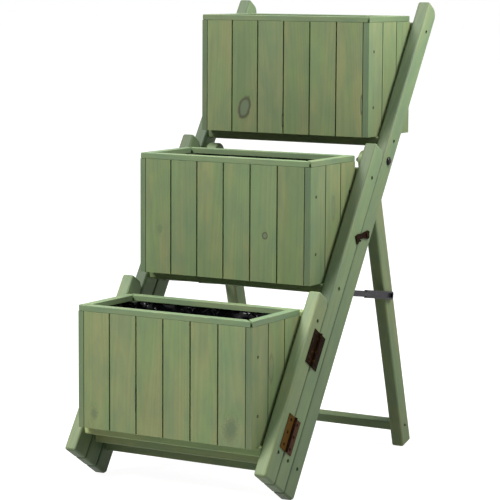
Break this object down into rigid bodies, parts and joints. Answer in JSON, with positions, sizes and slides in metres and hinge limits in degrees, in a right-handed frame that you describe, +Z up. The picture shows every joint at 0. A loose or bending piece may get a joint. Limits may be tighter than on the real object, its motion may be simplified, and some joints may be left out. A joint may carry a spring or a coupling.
{
  "type": "tiered plant stand",
  "caption": "Folding stepped plant stand of stained wood: planter boxes on sloping rails, with hinged rear legs held by sliding stays.",
  "frame": {"origin": "middle of the footprint's box, on the floor", "axes": "+Z up, +Y from the lowest box towards the rear legs, +X to the right seen from the front"},
  "size_m": [0.4908, 0.7246, 0.9805],
  "materials": {
    "green_wood": "matt semi-transparent green stain on softwood",
    "black_liner": "thin glossy black film",
    "antique_metal": "antique brown lacquer",
    "dark_steel": "dark grey satin",
    "bolt_steel": "dull steel"
  },
  "bodies": {
    "frame": {"hinge_front_leaves": "antique_metal", "hinge_pins": "antique_metal", "hinge_rear_leaves": "antique_metal", "hook_pins": "antique_metal", "hook_studs": "antique_metal", "lower_back_bar": "green_wood", "lower_back_boards": "green_wood", "lower_base_boards": "green_wood", "lower_corner_posts": "green_wood", "lower_front_boards": "green_wood", "lower_left_rail": "green_wood", "lower_liner": "black_liner", "lower_right_rail": "green_wood", "lower_rim_boards": "green_wood", "lower_seat_bar": "green_wood", "lower_side_boards": "green_wood", "middle_back_bar": "green_wood", "middle_back_boards": "green_wood", "middle_base_boards": "green_wood", "middle_corner_posts": "green_wood", "middle_front_boards": "green_wood", "middle_left_rail": "green_wood", "middle_liner": "black_liner", "middle_low_bar": "green_wood", "middle_right_rail": "green_wood", "middle_rim_boards": "green_wood", "middle_seat_bar": "green_wood", "middle_side_boards": "green_wood", "pivot_bolts": "bolt_steel", "pivot_nuts": "bolt_steel", "pivot_spacers": "bolt_steel", "rail_screws": "bolt_steel", "stay_front_pins": "dark_steel", "upper_back_bar": "green_wood", "upper_back_boards": "green_wood", "upper_base_boards": "green_wood", "upper_corner_posts": "green_wood", "upper_front_boards": "green_wood", "upper_left_rail": "green_wood", "upper_liner": "black_liner", "upper_low_bar": "green_wood", "upper_right_rail": "green_wood", "upper_rim_boards": "green_wood", "upper_seat_bar": "green_wood", "upper_side_boards": "green_wood"},
    "rear_legs": {"right_rear_leg": "green_wood", "left_rear_leg": "green_wood", "rear_leg_bar": "green_wood", "leg_screws": "bolt_steel", "stay_rear_pins": "dark_steel"},
    "right_slide": {"right_stay_slide": "dark_steel"},
    "left_slide": {"left_stay_slide": "dark_steel"},
    "right_channel": {"right_stay_channel": "dark_steel"},
    "left_channel": {"left_stay_channel": "dark_steel"},
    "right_latch": {"right_hook": "antique_metal"},
    "left_latch": {"left_hook": "antique_metal"}
  },
  "joints": [
    {"name": "rear_leg_fold", "type": "hinge", "parent": "frame", "child": "rear_legs", "pos_m": [0, 0.14451, 0.64782], "axis": [-1, 0, 0], "range_deg": [0, 16]},
    {"name": "right_slide_turn", "type": "hinge", "parent": "frame", "child": "right_slide", "pos_m": [0.20631, -0.02345, 0.3872], "axis": [-1, 0, 0], "range_deg": [0, 8]},
    {"name": "right_channel_turn", "type": "hinge", "parent": "rear_legs", "child": "right_channel", "pos_m": [0.20405, 0.22816, 0.34926], "axis": [1, 0, 0], "range_deg": [0, 8]},
    {"name": "right_hook_swing", "type": "hinge", "parent": "frame", "child": "right_latch", "pos_m": [0.24055, 0.04721, 0.50113], "axis": [-1, 0, 0], "range_deg": [0, 100]},
    {"name": "left_slide_turn", "type": "hinge", "parent": "frame", "child": "left_slide", "pos_m": [-0.20631, -0.02345, 0.3872], "axis": [-1, 0, 0], "range_deg": [0, 8]},
    {"name": "left_channel_turn", "type": "hinge", "parent": "rear_legs", "child": "left_channel", "pos_m": [-0.20405, 0.22816, 0.34926], "axis": [1, 0, 0], "range_deg": [0, 8]},
    {"name": "left_hook_swing", "type": "hinge", "parent": "frame", "child": "left_latch", "pos_m": [-0.24055, 0.04721, 0.50113], "axis": [-1, 0, 0], "range_deg": [0, 100]}
  ],
  "couplings": [
    {"joint": "right_slide_turn", "follows": "rear_leg_fold", "ratio": 0.5},
    {"joint": "right_channel_turn", "follows": "rear_leg_fold", "ratio": 0.5},
    {"joint": "left_slide_turn", "follows": "rear_leg_fold", "ratio": 0.5},
    {"joint": "left_channel_turn", "follows": "rear_leg_fold", "ratio": 0.5}
  ]
}
